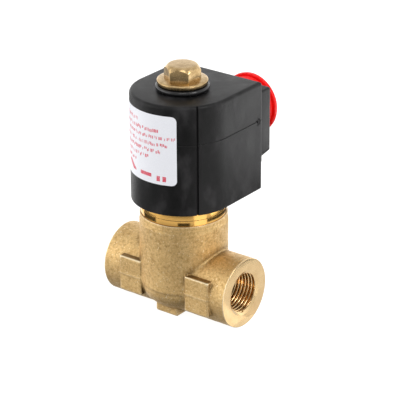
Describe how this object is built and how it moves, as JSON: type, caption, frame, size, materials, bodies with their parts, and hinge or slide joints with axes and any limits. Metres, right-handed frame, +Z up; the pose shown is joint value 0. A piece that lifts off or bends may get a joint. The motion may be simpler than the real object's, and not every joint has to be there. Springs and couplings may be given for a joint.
{
  "type": "solenoid valve",
  "caption": "Direct-acting two-way solenoid valve: forged brass body with female pipe ports, black moulded coil with a plugged conduit hub, held by a brass cap nut.",
  "frame": {"origin": "where the pipe axis crosses the plunger axis, at the middle of the valve body", "axes": "+X along the pipe from inlet to outlet, +Y towards the conduit hub, +Z up along the plunger and coil"},
  "size_m": [0.0564, 0.063, 0.0978],
  "materials": {
    "forged_brass": "fine blasted forging, matte gold-tan",
    "turned_brass": "satin turned brass",
    "polished_brass": "bright turned brass",
    "stainless_steel": "fine turned stainless steel",
    "plated_steel": "dull zinc plate",
    "copper": "enamelled or bare copper",
    "black_rubber": "smooth black rubber",
    "housing_plastic": "satin black moulding",
    "bobbin_plastic": "natural nylon",
    "red_plastic": "translucent red, glossy",
    "label_paper": "white satin label stock",
    "terminal_metal": "tinned brass"
  },
  "bodies": {
    "valve": {"valve_body": "forged_brass", "orifice_seat": "turned_brass", "bonnet_o_ring": "black_rubber", "bonnet": "polished_brass", "guide_tube": "stainless_steel", "fixed_core": "stainless_steel", "shading_ring": "copper"},
    "plunger": {"plunger": "stainless_steel", "plunger_seal": "black_rubber", "return_spring": "stainless_steel"},
    "coil": {"coil_housing": "housing_plastic", "coil_bobbin": "bobbin_plastic", "coil_winding": "copper", "flux_sleeve": "plated_steel", "upper_flux_plate": "plated_steel", "lower_flux_plate": "plated_steel", "coil_lead_a": "copper", "coil_lead_b": "copper", "coil_base_gasket": "black_rubber", "rating_label": "label_paper", "terminal_block": "bobbin_plastic", "line_terminal_a": "terminal_metal", "line_terminal_b": "terminal_metal", "earth_terminal": "terminal_metal"},
    "cap": {"conduit_cap": "red_plastic"},
    "washer": {"top_seal_washer": "black_rubber"},
    "nut": {"coil_nut": "turned_brass"}
  },
  "joints": [
    {"name": "plunger_lift", "type": "slide", "parent": "valve", "child": "plunger", "axis": [0, 0, 1], "range_m": [0, 0.0025], "stiffness_N_per_m": 1000, "springref_m": -0.0025, "deforming": ["return_spring"]},
    {"name": "coil_swivel", "type": "hinge", "parent": "valve", "child": "coil", "pos_m": [0, 0, 0], "axis": [0, 0, 1], "continuous": true},
    {"name": "cap_pull", "type": "slide", "parent": "coil", "child": "cap", "axis": [0, 1, 0], "range_m": [0, 0.012]},
    {"name": "nut_turn", "type": "hinge", "parent": "valve", "child": "washer", "pos_m": [0, 0, 0], "axis": [0, 0, 1], "range_deg": [0, 1620]},
    {"name": "nut_rise", "type": "slide", "parent": "washer", "child": "nut", "axis": [0, 0, 1], "range_m": [0, 0.00408]}
  ],
  "couplings": [
    {"joint": "nut_turn", "follows": "nut_rise", "rad_per_m": 6926.6}
  ]
}
